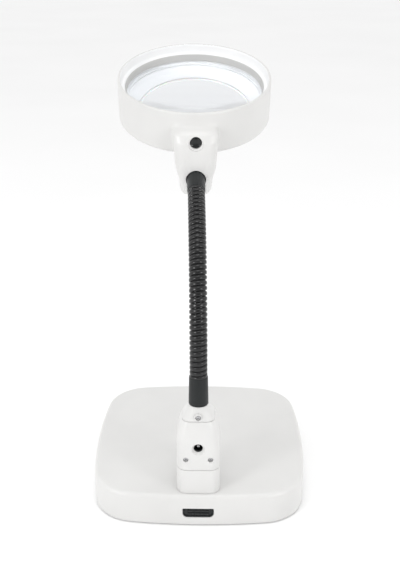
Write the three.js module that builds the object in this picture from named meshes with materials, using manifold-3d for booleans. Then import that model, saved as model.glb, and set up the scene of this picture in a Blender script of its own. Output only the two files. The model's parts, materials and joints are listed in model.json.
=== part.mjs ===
// Stand magnifier: a round lens in a lit ring head, carried by a flexible neck on a weighted base.
// Millimetres, +Z up. The origin is on the underside of the base, at its centre.
// -Y is the rear, where the column stands, and +Y is the reader's side.

import * as THREE from 'three';
import { mergeVertices } from 'three/addons/utils/BufferGeometryUtils.js';
import Module from 'manifold-3d';

const wasm = await Module();
wasm.setup();

// ---- Clearances ----
const gap = 0.3;            // between two pieces that touch
const ballGap = 0.4;        // between a neck link's ball and the next link's cup
const beyond = 200;         // past everything, for cutting shapes

// ---- Base ----
const baseSize = 150;       // across the flats, side to side and front to rear
const baseHeight = 24;
const baseWall = 2.4;
const baseSideRadius = 375; // the sides bulge a little
const baseCornerRadius = 30;
const baseTopFillet = 3;
const baseFootFillet = 1.2;
const coverLift = 0.8;      // the cover's rim stays clear of the table
const matThickness = 1.2;
const matInset = 7;
const plateThickness = 2;
const ballastWidth = baseSize - 38;
const ballastDepth = baseSize - 58;
const ballastThickness = 8;
const ballastCorner = 12;
const ballastForward = 14;  // the ballast's centre, in front of the base's centre
const baseScrewSpacing = baseSize / 2 - 23; // from the base's middle lines
const bossRadius = 4.2;
const screwShank = 1.3;
const screwHead = 3.2;
const screwHeadHeight = 1.4;

// ---- Column ----
const columnWidth = 29;
const columnDepth = 28;
const columnCorner = 7;
const columnSetback = 3;    // from the base's rear edge
const columnWall = 2;
const footWidth = columnWidth - 6;   // the tenon in the base
const footDepth = columnDepth - 8;
const footBottom = 4.5;
const footSeam = baseHeight + 18.3;  // seam between the foot and the upper shells
const shoulderStart = baseHeight + 36;
const shoulderTop = shoulderStart + 17.3;
const neckRadius = 5.8;
const nutWidth = 2 * neckRadius + 3.4; // of the nut on the lower collar, inside the shoulders
const nutThickness = 4;
const shoulderWidth = Math.max(columnWidth - 7.4, nutWidth + 2 * columnWall + 2);
const shoulderDepth = Math.max(columnDepth - 6, nutWidth + 2 * columnWall + 2);
const shoulderCorner = 6.3;
const capTop = shoulderTop + 8.2;
const capWidth = shoulderWidth - 0.4;
const capDepth = shoulderDepth - 0.4;
const capTopRadius = 7.6;

// ---- Release button and latch ----
const buttonWidth = 20.5;
const buttonBottom = 7.2;
const buttonHeight = 6.7;
const buttonChamfer = 3.2;
const buttonTravel = 2;
const buttonFlange = 1.3;
const flangeClearance = 0.5;// behind the bulged rear wall
const latchBar = 1.7;
const latchThickness = 3;
const notchDepth = 2;

// ---- Power inlet, power button and screws on the column ----
const inletHeight = baseHeight + 35.2;
const inletMouth = 6;
const inletCone = 8.4;
const inletBody = 9;
const inletDepth = columnDepth / 2 - 1.5;
const inletPin = 2;
const powerHeight = inletHeight;
const powerDiameter = 9;
const powerTravel = 1;
const columnScrewHeight = baseHeight + 26.4;
const columnScrewOffset = columnWidth / 2 - 6.4;
const smallScrewHead = 1.7;
const smallScrewShank = 1;
const screwRecess = 0.8;
const postRadius = 2.6;
const capScrewHeight = shoulderTop + 2.6;
const capBossRadius = 2.2;
const capBossReach = -0.3;  // out of the cap's wall
const boardThickness = 1.6;
const boardWidth = columnWidth - 9;
const boardHeight = 18;
const boardBelowInlet = 4;
const switchSize = 6;
const switchDepth = 3.5;

// ---- Flexible neck ----
const neckTurn = 2.2;       // degrees, the neck's plane about the column's axis
const linkPitch = 11;
const linkCount = 11;
const ballRadius = neckRadius - 0.85;
const linkShoulder = ballRadius - 2.25; // from a pivot back to the shoulder under its ball
const headTilt = 17;        // degrees, the lens plane from level at rest
const bendHinges = 6;
const lowerCollarTop = capTop + 19.9;
const collarWideRadius = neckRadius + 0.7;
const collarNarrowRadius = neckRadius + 0.2;
const upperCollarLength = 14.6;
const upperSpigot = 6;      // of the upper collar, inside the head's neck
const spigotRadius = neckRadius - 0.6;
const spigotLength = 17;

// ---- Head ----
const housingRadius = 55.1;
const housingHeight = 32;
const housingWall = 2.5;
const lipWidth = 1.7;
const lensRadius = housingRadius - 5.6;
const lensEdge = 3;
const lensCurve = 240;
const lensDepth = housingHeight * 0.47; // from the rim down to the lens's lower edge
const seatThickness = 2;
const seatRadius = lensRadius - 2.5;
const openingRadius = lensRadius - 8.5;
const skirtWall = 1.4;
const diffuserThickness = 1.6;
const ledCount = 12;
const ledSize = 3;
const ledHeight = 1.6;
const ledBoardDrop = housingHeight - 11; // from the rim down to the LED board
const neckDepth = 24.5;     // the moulded neck, from its rear face to its front face
const neckReach = housingRadius + 16.4;  // from the head's centre back to the neck's rear face
const neckDrop = housingHeight + 10;     // from the rim plane down to the flexible neck's axis
const neckBottom = neckDrop + 15;        // from the rim plane down to the neck's lower end
const coverWidth = 16.4;
const coverHeight = 18.4;
const coverThickness = 2.5;
const coverRecess = 0.8;
const cavityDepth = 17.5;
const plugRadius = 4.1;
const plugDrop = housingHeight - 15;
const plugSlope = 13;       // degrees
const plugRecess = 1.6;

// ---- Values worked out from the sizes above ----
const baseHalf = baseSize / 2;
const columnY = -baseHalf + columnSetback + columnDepth / 2;
const columnRear = columnY - columnDepth / 2;
const columnFront = columnY + columnDepth / 2;
const plateBottom = matThickness + gap;
const plateTop = plateBottom + plateThickness;
const ballastBottom = plateTop + gap;
const footRear = columnY - footDepth / 2;
const footFront = columnY + footDepth / 2;
const restBend = THREE.MathUtils.degToRad((90 - headTilt) / bendHinges);
const cupRadius = ballRadius + ballGap;

// How far each face of the lens bulges past its edge at a given radius.
function lensBulge(radius) {
  return Math.sqrt(lensCurve ** 2 - radius ** 2) - Math.sqrt(lensCurve ** 2 - lensRadius ** 2);
}

const coverInnerTop = baseHeight - baseWall;

// ---- Materials ----
function plastic(color, roughness) {
  return new THREE.MeshStandardMaterial({ color, roughness, metalness: 0 });
}

const white = plastic(0xe6e6e4, 0.45);
const innerWhite = plastic(0xf2f2f0, 0.6);
const black = plastic(0x222426, 0.4);
const rubber = plastic(0x2b2b2b, 0.9);
const green = plastic(0x2f6b45, 0.5);
const diffuse = plastic(0xf6f6f2, 0.7);
const steel = new THREE.MeshStandardMaterial({ color: 0x9a9c9e, roughness: 0.35, metalness: 1 });
const glass = new THREE.MeshStandardMaterial({
  color: 0xeef4f6, roughness: 0.05, metalness: 0, transparent: true, opacity: 0.3,
});

// ---- Shape helpers ----

// Points of an arc about (cx, cy), both ends included.
function arc(cx, cy, radius, from, to, steps) {
  const points = [];
  for (let i = 0; i <= steps; i++) {
    const angle = from + (to - from) * i / steps;
    points.push([cx + radius * Math.cos(angle), cy + radius * Math.sin(angle)]);
  }
  return points;
}

// A square outline with slightly bulged sides and round corners, moved in by inset.
function bulgedSquare(inset) {
  const sideCentre = baseHalf - baseSideRadius;
  const reach = baseSideRadius - baseCornerRadius;
  const cornerCentre = (sideCentre + Math.sqrt(2 * reach * reach - sideCentre * sideCentre)) / 2;
  const meet = Math.atan2(cornerCentre, cornerCentre - sideCentre);
  const points = [];
  for (let side = 0; side < 4; side++) {
    const turn = side * Math.PI / 2;
    const flank = arc(sideCentre, 0, baseSideRadius - inset, -meet, meet, 8);
    const corner = arc(cornerCentre, cornerCentre, baseCornerRadius - inset, meet, Math.PI / 2 - meet, 6);
    for (const [x, y] of flank.slice(0, -1).concat(corner.slice(0, -1))) {
      points.push([x * Math.cos(turn) - y * Math.sin(turn), x * Math.sin(turn) + y * Math.cos(turn)]);
    }
  }
  return points;
}

// A rectangle with round corners about (cx, cy).
function roundRect(width, depth, corner, cx = 0, cy = 0, steps = 4) {
  const radius = Math.min(corner, width / 2 - 0.05, depth / 2 - 0.05);
  const x = width / 2 - radius;
  const y = depth / 2 - radius;
  const quarter = Math.PI / 2;
  return [
    ...arc(cx + x, cy + y, radius, 0, quarter, steps),
    ...arc(cx - x, cy + y, radius, quarter, 2 * quarter, steps),
    ...arc(cx - x, cy - y, radius, 2 * quarter, 3 * quarter, steps),
    ...arc(cx + x, cy - y, radius, 3 * quarter, 4 * quarter, steps),
  ];
}

// A closed solid through convex sections of equal point count, from the lowest to the highest.
function loft(sections) {
  const count = sections[0].outline.length;
  const position = [];
  const index = [];
  for (const { outline, z } of sections) {
    for (const [x, y] of outline) {
      position.push(x, y, z);
    }
  }
  for (let s = 0; s + 1 < sections.length; s++) {
    for (let i = 0; i < count; i++) {
      const a = s * count + i;
      const b = s * count + (i + 1) % count;
      index.push(a, b, b + count, a, b + count, a + count);
    }
  }
  const top = (sections.length - 1) * count;
  for (let i = 1; i + 1 < count; i++) {
    index.push(0, i + 1, i);
    index.push(top, top + i, top + i + 1);
  }
  const geometry = new THREE.BufferGeometry();
  geometry.setAttribute('position', new THREE.Float32BufferAttribute(position, 3));
  geometry.setIndex(index);
  return geometry;
}

// A solid of revolution about Z from a profile of [radius, z] points that closes on itself or on the axis.
function turned(profile, segments) {
  const points = profile.map(([radius, z]) => new THREE.Vector2(Math.max(radius, 0), z));
  const geometry = new THREE.LatheGeometry(points, segments);
  return geometry.rotateX(Math.PI / 2);
}

// A plain round bar along Z.
function bar(radius, from, to, segments = 16) {
  return turned([[0, from], [radius, from], [radius, to], [0, to]], segments);
}

function block(width, depth, height, x, y, z) {
  return new THREE.BoxGeometry(width, depth, height).translate(x, y, z);
}

// Turns a shape made along Z so that it runs along +Y, then moves it.
function alongY(geometry, x, y, z) {
  return geometry.rotateX(-Math.PI / 2).translate(x, y, z);
}

function toSolid(geometry) {
  const bare = new THREE.BufferGeometry();
  bare.setAttribute('position', geometry.getAttribute('position').clone());
  if (geometry.index) {
    bare.setIndex(geometry.index.clone());
  }
  const merged = mergeVertices(bare, 1e-4);
  const triangles = [];
  for (let i = 0; i < merged.index.count; i += 3) {
    const [a, b, c] = [0, 1, 2].map((k) => merged.index.getX(i + k));
    if (a !== b && b !== c && c !== a) {
      triangles.push(a, b, c);
    }
  }
  const mesh = new wasm.Mesh({
    numProp: 3,
    vertProperties: new Float32Array(merged.getAttribute('position').array),
    triVerts: new Uint32Array(triangles),
  });
  const solid = new wasm.Manifold(mesh);
  return solid.volume() < 0 ? new wasm.Manifold(flipped(mesh)) : solid;
}

function flipped(mesh) {
  const triVerts = mesh.triVerts.slice();
  for (let i = 0; i < triVerts.length; i += 3) {
    [triVerts[i + 1], triVerts[i + 2]] = [triVerts[i + 2], triVerts[i + 1]];
  }
  return new wasm.Mesh({ numProp: 3, vertProperties: mesh.vertProperties, triVerts });
}

function toGeometry(solid) {
  const mesh = solid.getMesh();
  const geometry = new THREE.BufferGeometry();
  geometry.setAttribute('position', new THREE.Float32BufferAttribute(mesh.vertProperties, 3));
  geometry.setIndex(new THREE.BufferAttribute(mesh.triVerts, 1));
  return geometry;
}

// The body with the joined shapes added first and the cut shapes taken away after.
function shape(body, { join = [], cut = [], keep = null }) {
  let solid = toSolid(body);
  for (const other of join) {
    solid = solid.add(toSolid(other));
  }
  for (const other of cut) {
    solid = solid.subtract(toSolid(other));
  }
  if (keep) {
    solid = solid.intersect(toSolid(keep));
  }
  return toGeometry(solid);
}

function add(parent, name, geometry, material) {
  const mesh = new THREE.Mesh(toGeometry(toSolid(geometry)), material);
  mesh.name = name;
  parent.add(mesh);
}

const group = new THREE.Group();

// ---- Base ----
const screwPlaces = [
  [1, 1],
  [-1, 1],
  [-1, -1],
  [1, -1],
].map(([x, y]) => [x * baseScrewSpacing, y * baseScrewSpacing]);

function buttonOutline(clearance) {
  const half = buttonWidth / 2 + clearance;
  const low = buttonBottom - clearance;
  const high = buttonBottom + buttonHeight + clearance;
  const shapeOutline = new THREE.Shape();
  shapeOutline.moveTo(-half + buttonChamfer, low);
  shapeOutline.lineTo(half - buttonChamfer, low);
  shapeOutline.lineTo(half, low + buttonChamfer);
  shapeOutline.lineTo(half, high);
  shapeOutline.lineTo(-half, high);
  shapeOutline.lineTo(-half, low + buttonChamfer);
  shapeOutline.closePath();
  return shapeOutline;
}

// The button's outline pushed through from one y to another.
function buttonPrism(clearance, from, to) {
  const options = { depth: to - from, bevelEnabled: false };
  const prism = new THREE.ExtrudeGeometry(buttonOutline(clearance), options);
  return prism.rotateX(Math.PI / 2).translate(0, to, 0);
}

function makeBase() {
  const fillet = arc(0, 0, baseTopFillet, 0, Math.PI / 2, 4).map(([c, s]) => ({
    outline: bulgedSquare(baseTopFillet - c),
    z: baseHeight - baseTopFillet + s,
  }));
  const outer = loft([
    { outline: bulgedSquare(baseFootFillet), z: coverLift },
    { outline: bulgedSquare(baseFootFillet * 0.3), z: coverLift + baseFootFillet * 0.3 },
    { outline: bulgedSquare(0), z: coverLift + baseFootFillet },
    ...fillet,
  ]);
  const inner = loft([
    { outline: bulgedSquare(baseWall), z: 0 },
    { outline: bulgedSquare(baseWall), z: coverInnerTop - 1 },
    { outline: bulgedSquare(baseWall + 1), z: coverInnerTop },
  ]);
  const hollow = toSolid(outer).subtract(toSolid(inner));
  const bossBottom = plateTop + gap;
  const sleeveBottom = buttonBottom + buttonHeight + 1.6;
  let cover = hollow;
  for (const [x, y] of screwPlaces) {
    cover = cover.add(toSolid(bar(bossRadius, bossBottom, baseHeight - baseWall / 2).translate(x, y, 0)));
    const pilot = bar(screwShank + gap, bossBottom - 1, baseHeight - baseWall - 2, 12);
    cover = cover.subtract(toSolid(pilot.translate(x, y, 0)));
  }
  const holeOutline = roundRect(footWidth + 2 * gap, footDepth + 2 * gap, 2, 0, columnY);
  const sleeveOutline = roundRect(footWidth + 2 * gap + 4, footDepth + 2 * gap + 4, 4, 0, columnY);
  const sleeve = loft([
    { outline: sleeveOutline, z: sleeveBottom },
    { outline: sleeveOutline, z: baseHeight - baseWall / 2 },
  ]);
  const hole = loft([
    { outline: holeOutline, z: sleeveBottom - 1 },
    { outline: holeOutline, z: baseHeight + 1 },
  ]);
  cover = cover.add(toSolid(sleeve)).subtract(toSolid(hole));
  cover = cover.subtract(toSolid(buttonPrism(gap, -baseHalf - 1, -baseHalf + baseWall + 0.5)));
  add(group, 'base_cover', toGeometry(cover), white);

  const plateOutline = bulgedSquare(baseWall + gap);
  const screwCuts = screwPlaces.flatMap(([x, y]) => [
    bar(screwShank + gap, plateBottom - 1, plateTop + 1, 12).translate(x, y, 0),
    bar(screwHead + gap, plateBottom - 1, plateBottom + screwHeadHeight - 0.2, 16).translate(x, y, 0),
  ]);
  const plate = loft([
    { outline: plateOutline, z: plateBottom },
    { outline: plateOutline, z: plateTop },
  ]);
  add(group, 'base_plate', shape(plate, { cut: screwCuts }), white);

  screwPlaces.forEach(([x, y], i) => {
    const headTop = plateBottom + screwHeadHeight - 0.2 - gap;
    const screw = turned([
      [0, plateBottom + 0.1],
      [screwHead, plateBottom + 0.1],
      [screwHead, headTop],
      [screwShank, headTop],
      [screwShank, headTop + 10],
      [0, headTop + 10],
    ], 12);
    add(group, `base_screw_${i + 1}`, screw.translate(x, y, 0), steel);
  });

  const ballastOutline = roundRect(ballastWidth, ballastDepth, ballastCorner, 0, ballastForward);
  const ballastCuts = screwPlaces.map(([x, y]) => (
    bar(bossRadius + gap, 0, baseHeight, 16).translate(x, y, 0)
  ));
  const ballast = loft([
    { outline: ballastOutline, z: ballastBottom },
    { outline: ballastOutline, z: ballastBottom + ballastThickness },
  ]);
  add(group, 'ballast_plate', shape(ballast, { cut: ballastCuts }), steel);

  const matOutline = bulgedSquare(matInset);
  add(group, 'non_slip_mat', loft([
    { outline: matOutline, z: 0 },
    { outline: matOutline, z: matThickness },
  ]), rubber);
}

// ---- Release button with its latch frame and spring ----
const buttonFace = -baseHalf + 0.4;
const flangeFront = -baseHalf + baseWall + flangeClearance;
const flangeRear = flangeFront + buttonFlange;
const latchFront = flangeRear + gap;
const latchMiddle = buttonBottom + buttonHeight / 2;

function makeRelease() {
  const body = buttonPrism(0, buttonFace, flangeRear);
  const grooves = [-1, 1].map((side) => (
    block(buttonWidth - 2 * buttonChamfer, 1.2, 1, 0, buttonFace, latchMiddle + side * 1.4)
  ));
  const flangeWidth = buttonWidth + 3;
  const flangeY = (flangeFront + flangeRear) / 2;
  const flange = block(flangeWidth, buttonFlange, buttonHeight + 1.6, 0, flangeY, latchMiddle);
  add(group, 'release_button', shape(body, { join: [flange], cut: grooves }), black);

  const rearInner = latchFront + latchBar;
  const toothRear = footFront - notchDepth + gap;
  const toothFront = footFront + latchBar;
  const halfInner = footWidth / 2 + 2 * gap;
  const frameDepth = toothFront - latchFront;
  const frameY = (latchFront + toothFront) / 2;
  const frame = block(2 * halfInner + 5, frameDepth, latchThickness, 0, frameY, latchMiddle);
  const windowDepth = toothRear - rearInner;
  const windowY = (rearInner + toothRear) / 2;
  const frameWindow = block(2 * halfInner, windowDepth, latchThickness + 2, 0, windowY, latchMiddle);
  add(group, 'release_latch', shape(frame, { cut: [frameWindow] }), innerWhite);

  const springFrom = toothFront + gap;
  const springWall = springFrom + 8;
  const spring = new THREE.CatmullRomCurve3(Array.from({ length: 25 }, (_, i) => {
    const angle = i * Math.PI / 3;
    const y = springFrom + 0.4 + i * (springWall - springFrom - 0.8) / 24;
    return new THREE.Vector3(1.5 * Math.cos(angle), y, latchMiddle + 1.5 * Math.sin(angle));
  }));
  const wire = arc(0, 0, 0.25, 0, 2 * Math.PI * 5 / 6, 5);
  const section = new THREE.Shape(wire.map(([x, y]) => new THREE.Vector2(x, y)));
  const coil = new THREE.ExtrudeGeometry(section, { steps: 48, extrudePath: spring, bevelEnabled: false });
  add(group, 'latch_spring', coil, steel);
  const stop = block(14, 2, latchMiddle + 2.5 - plateTop - gap, 0, springWall + 1 + gap,
    (latchMiddle + 2.5 + plateTop + gap) / 2);
  add(group, 'spring_stop', stop, innerWhite);
}

// ---- Column ----
function columnOutline(width, depth, corner, inset = 0) {
  return roundRect(width - 2 * inset, depth - 2 * inset, Math.max(corner - inset, 0.5), 0, columnY, 6);
}

function makeColumn() {
  const footTop = footSeam - gap / 2;
  const footOuter = loft([
    { outline: columnOutline(columnWidth - 1.6, columnDepth - 1.6, columnCorner - 0.8), z: baseHeight + gap },
    { outline: columnOutline(columnWidth, columnDepth, columnCorner), z: baseHeight + gap + 0.8 },
    { outline: columnOutline(columnWidth, columnDepth, columnCorner), z: footTop },
  ]);
  const tenonOutline = roundRect(footWidth, footDepth, 1.7, 0, columnY);
  const tenon = loft([
    { outline: tenonOutline, z: footBottom },
    { outline: tenonOutline, z: baseHeight + gap + 0.4 },
  ]);
  const pocketOutline = columnOutline(columnWidth, columnDepth, columnCorner, 4.5);
  const pocket = loft([
    { outline: pocketOutline, z: baseHeight - 6 },
    { outline: pocketOutline, z: footTop + 1 },
  ]);
  const notchHeight = latchThickness + 2 * gap;
  const notch = block(footWidth + 2, 2 * notchDepth, notchHeight, 0, footFront, latchMiddle);
  const rearRelief = buttonTravel + gap - (footRear - latchFront - latchBar);
  const relief = block(footWidth + 2, 2 * rearRelief, notchHeight, 0, footRear, latchMiddle);
  add(group, 'column_foot', shape(footOuter, { join: [tenon], cut: [pocket, notch, relief] }), white);

  const sections = (inset) => [
    { outline: columnOutline(columnWidth, columnDepth, columnCorner, inset), z: shoulderStart },
    { outline: columnOutline(columnWidth - 1, columnDepth - 0.6, columnCorner, inset), z: shoulderStart + 6 },
    { outline: columnOutline(columnWidth - 3.2, columnDepth - 2, columnCorner - 0.2, inset), z: shoulderStart + 11 },
    { outline: columnOutline(columnWidth - 5.4, columnDepth - 4, columnCorner - 0.5, inset), z: shoulderTop - 2.8 },
    { outline: columnOutline(shoulderWidth, shoulderDepth, shoulderCorner, inset), z: shoulderTop },
  ];
  const shellBottom = footSeam + gap / 2;
  const outer = toSolid(loft([
    { outline: columnOutline(columnWidth, columnDepth, columnCorner), z: shellBottom },
    ...sections(0),
  ]));
  const innerSections = sections(columnWall);
  const inner = toSolid(loft([
    { outline: columnOutline(columnWidth, columnDepth, columnCorner, columnWall), z: shellBottom + columnWall },
    ...innerSections.slice(0, -1),
    { outline: innerSections.at(-1).outline, z: shoulderTop + 0.5 },
  ]));
  const shell = outer.subtract(inner);
  const rearHalf = toSolid(block(beyond, beyond, beyond, 0, columnY - (gap + beyond) / 2, 0));
  const frontHalf = toSolid(block(beyond, beyond, beyond, 0, columnY + (gap + beyond) / 2, 0));
  const wallInside = columnRear + columnWall;

  let rear = shell;
  const sides = [-1, 1];
  for (const side of sides) {
    const x = side * columnScrewOffset;
    const post = alongY(bar(postRadius, 0, columnDepth / 2 - 0.5, 14), x, columnRear + 0.5, columnScrewHeight);
    rear = rear.add(toSolid(post));
  }
  rear = rear.intersect(rearHalf);
  for (const side of sides) {
    const x = side * columnScrewOffset;
    const headHole = bar(smallScrewHead + 0.15, -1, screwRecess + 1.4, 14);
    const shankHole = bar(smallScrewShank + gap, 0, columnDepth, 12);
    rear = rear.subtract(toSolid(alongY(headHole, x, columnRear, columnScrewHeight)));
    rear = rear.subtract(toSolid(alongY(shankHole, x, columnRear, columnScrewHeight)));
  }
  const mouth = turned([
    [0, -1],
    [inletCone / 2 + 0.8, -1],
    [inletCone / 2, 0],
    [inletMouth / 2 + 0.2, columnWall * 0.8],
    [inletMouth / 2 + 0.2, columnWall + 1],
    [0, columnWall + 1],
  ], 24);
  rear = rear.subtract(toSolid(alongY(mouth, 0, columnRear, inletHeight)));
  add(group, 'column_rear_shell', toGeometry(rear), white);

  const powerHole = alongY(bar(powerDiameter / 2 + gap, 0, 10, 24), 0, columnFront - 5, powerHeight);
  const front = shell.intersect(frontHalf).subtract(toSolid(powerHole));
  add(group, 'column_front_shell', toGeometry(front), white);

  sides.forEach((side, i) => {
    const screw = turned([
      [0, 0],
      [smallScrewHead, 0],
      [smallScrewHead, 1.1],
      [smallScrewShank, 1.1],
      [smallScrewShank, 9],
      [0, 9],
    ], 12);
    const name = `column_screw_${i + 1}`;
    add(group, name, alongY(screw, side * columnScrewOffset, columnRear + screwRecess, columnScrewHeight), steel);
  });

  const jackFront = wallInside + gap;
  const jackHole = alongY(bar(inletMouth / 2, -1, inletDepth - 2, 20), 0, jackFront, inletHeight);
  const jack = block(inletBody, inletDepth, inletBody, 0, jackFront + inletDepth / 2, inletHeight);
  add(group, 'power_inlet', shape(jack, { cut: [jackHole] }), black);
  const pin = turned([
    [0, 0],
    [inletPin / 2 - 0.3, 0],
    [inletPin / 2, 0.4],
    [inletPin / 2, inletDepth - 2.8],
    [0, inletDepth - 2.8],
  ], 12);
  add(group, 'power_inlet_pin', alongY(pin, 0, jackFront + 0.5, inletHeight), steel);

  const boardRear = jackFront + inletDepth + gap;
  const boardMiddle = boardRear + boardThickness / 2;
  const board = block(boardWidth, boardThickness, boardHeight, 0, boardMiddle, inletHeight - boardBelowInlet);
  add(group, 'circuit_board', board, green);
  const switchRear = boardRear + boardThickness + gap;
  const pushSwitch = block(switchSize, switchDepth, switchSize, 0, switchRear + switchDepth / 2, powerHeight);
  add(group, 'push_switch', pushSwitch, black);

  const stemEnd = switchRear + switchDepth + powerTravel + gap;
  const button = turned([
    [0, 0],
    [powerDiameter / 2 - 0.8, 0],
    [powerDiameter / 2, 0.6],
    [powerDiameter / 2, columnWall + 1],
    [2, columnWall + 1],
    [2, columnFront + 1 - stemEnd],
    [0, columnFront + 1 - stemEnd],
  ], 24);
  add(group, 'power_button', button.rotateX(Math.PI / 2).translate(0, columnFront + 1, powerHeight), black);
}

// ---- Cap, lower collar and nut ----
function makeCap() {
  const bottom = shoulderTop + gap;
  const boreRadius = spigotRadius + gap;
  const body = loft([
    { outline: columnOutline(capWidth, capDepth, shoulderCorner), z: bottom },
    { outline: columnOutline(capWidth - 2.2, capDepth - 2.2, shoulderCorner + 1), z: bottom + 2.8 },
    { outline: columnOutline(capWidth - 4.6, capDepth - 4.8, capTopRadius), z: bottom + 5.6 },
    { outline: columnOutline(2 * capTopRadius, 2 * capTopRadius, capTopRadius), z: capTop - 0.4 },
    { outline: columnOutline(2 * capTopRadius - 0.8, 2 * capTopRadius - 0.8, capTopRadius), z: capTop },
  ]);
  const bossFace = columnY - capDepth / 2 - capBossReach;
  const boss = alongY(bar(capBossRadius, 0, 3.5, 16), 0, bossFace, capScrewHeight);
  const headHole = alongY(bar(smallScrewHead + 0.15, -1, 1.4, 14), 0, bossFace, capScrewHeight);
  const shankHole = alongY(bar(smallScrewShank + 0.2, 0, 6, 12), 0, bossFace, capScrewHeight);
  const inside = bar(boreRadius, bottom - 1, capTop + 1, 24).translate(0, columnY, 0);
  add(group, 'column_cap', shape(body, { join: [boss], cut: [inside, headHole, shankHole] }), white);
  const capScrewLength = capDepth / 2 + capBossReach - spigotRadius - 3 * gap;
  const screw = turned([
    [0, 0.1],
    [smallScrewHead, 0.1],
    [smallScrewHead, 1.1],
    [smallScrewShank, 1.1],
    [smallScrewShank, capScrewLength],
    [0, capScrewLength],
  ], 12);
  add(group, 'cap_screw', alongY(screw, 0, bossFace, capScrewHeight), steel);

  const ball = arc(0, 0, ballRadius, -Math.asin(linkShoulder / ballRadius), Math.PI / 2, 5);
  const pivot = lowerCollarTop + linkPitch / 2;
  const collar = turned([
    [0, capTop - spigotLength],
    [spigotRadius, capTop - spigotLength],
    [spigotRadius, capTop + gap],
    [collarWideRadius, capTop + gap],
    [collarNarrowRadius, lowerCollarTop],
    [neckRadius, lowerCollarTop],
    [neckRadius, pivot - linkShoulder],
    ...ball.map(([r, z]) => [r, pivot + z]),
  ], 20);
  add(group, 'lower_collar', collar.translate(0, columnY, 0), black);

  const nutTop = shoulderTop - gap;
  const blank = bar(nutWidth / 2, nutTop - nutThickness, nutTop, 6);
  const nut = shape(blank, { cut: [bar(spigotRadius + gap, 0, capTop, 24)] });
  add(group, 'collar_nut', nut.translate(0, columnY, 0), steel);
}

// ---- Flexible neck: links with a cup below and a ball above, each turning about its cup's centre ----
function linkGeometry() {
  const cup = arc(0, 0, cupRadius, Math.PI / 2, 0, 4);
  const ball = arc(0, 0, ballRadius, -Math.asin(linkShoulder / ballRadius), Math.PI / 2, 4);
  return turned([
    ...cup,
    [neckRadius, 0],
    [neckRadius, linkPitch - linkShoulder],
    ...ball.map(([r, z]) => [r, linkPitch + z]),
  ], 16);
}

function makeNeck() {
  let frame = new THREE.Group();
  frame.position.set(0, columnY, lowerCollarTop + linkPitch / 2);
  frame.rotation.z = THREE.MathUtils.degToRad(neckTurn);
  group.add(frame);
  for (let i = 1; i <= linkCount; i++) {
    add(frame, `neck_link_${String(i).padStart(2, '0')}`, linkGeometry(), black);
    const next = new THREE.Group();
    next.position.z = linkPitch;
    next.rotation.x = i % 2 === 1 ? -restBend : 0;
    frame.add(next);
    frame = next;
  }
  return frame;
}

// ---- Head, in its own frame: origin at the rim's centre, +Y away from the neck, +Z out of the rim ----
function neckSection(width, rear, front, corner, drop) {
  return { outline: roundRect(width, front - rear, corner, 0, (front + rear) / 2, 5), z: -drop };
}

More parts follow.
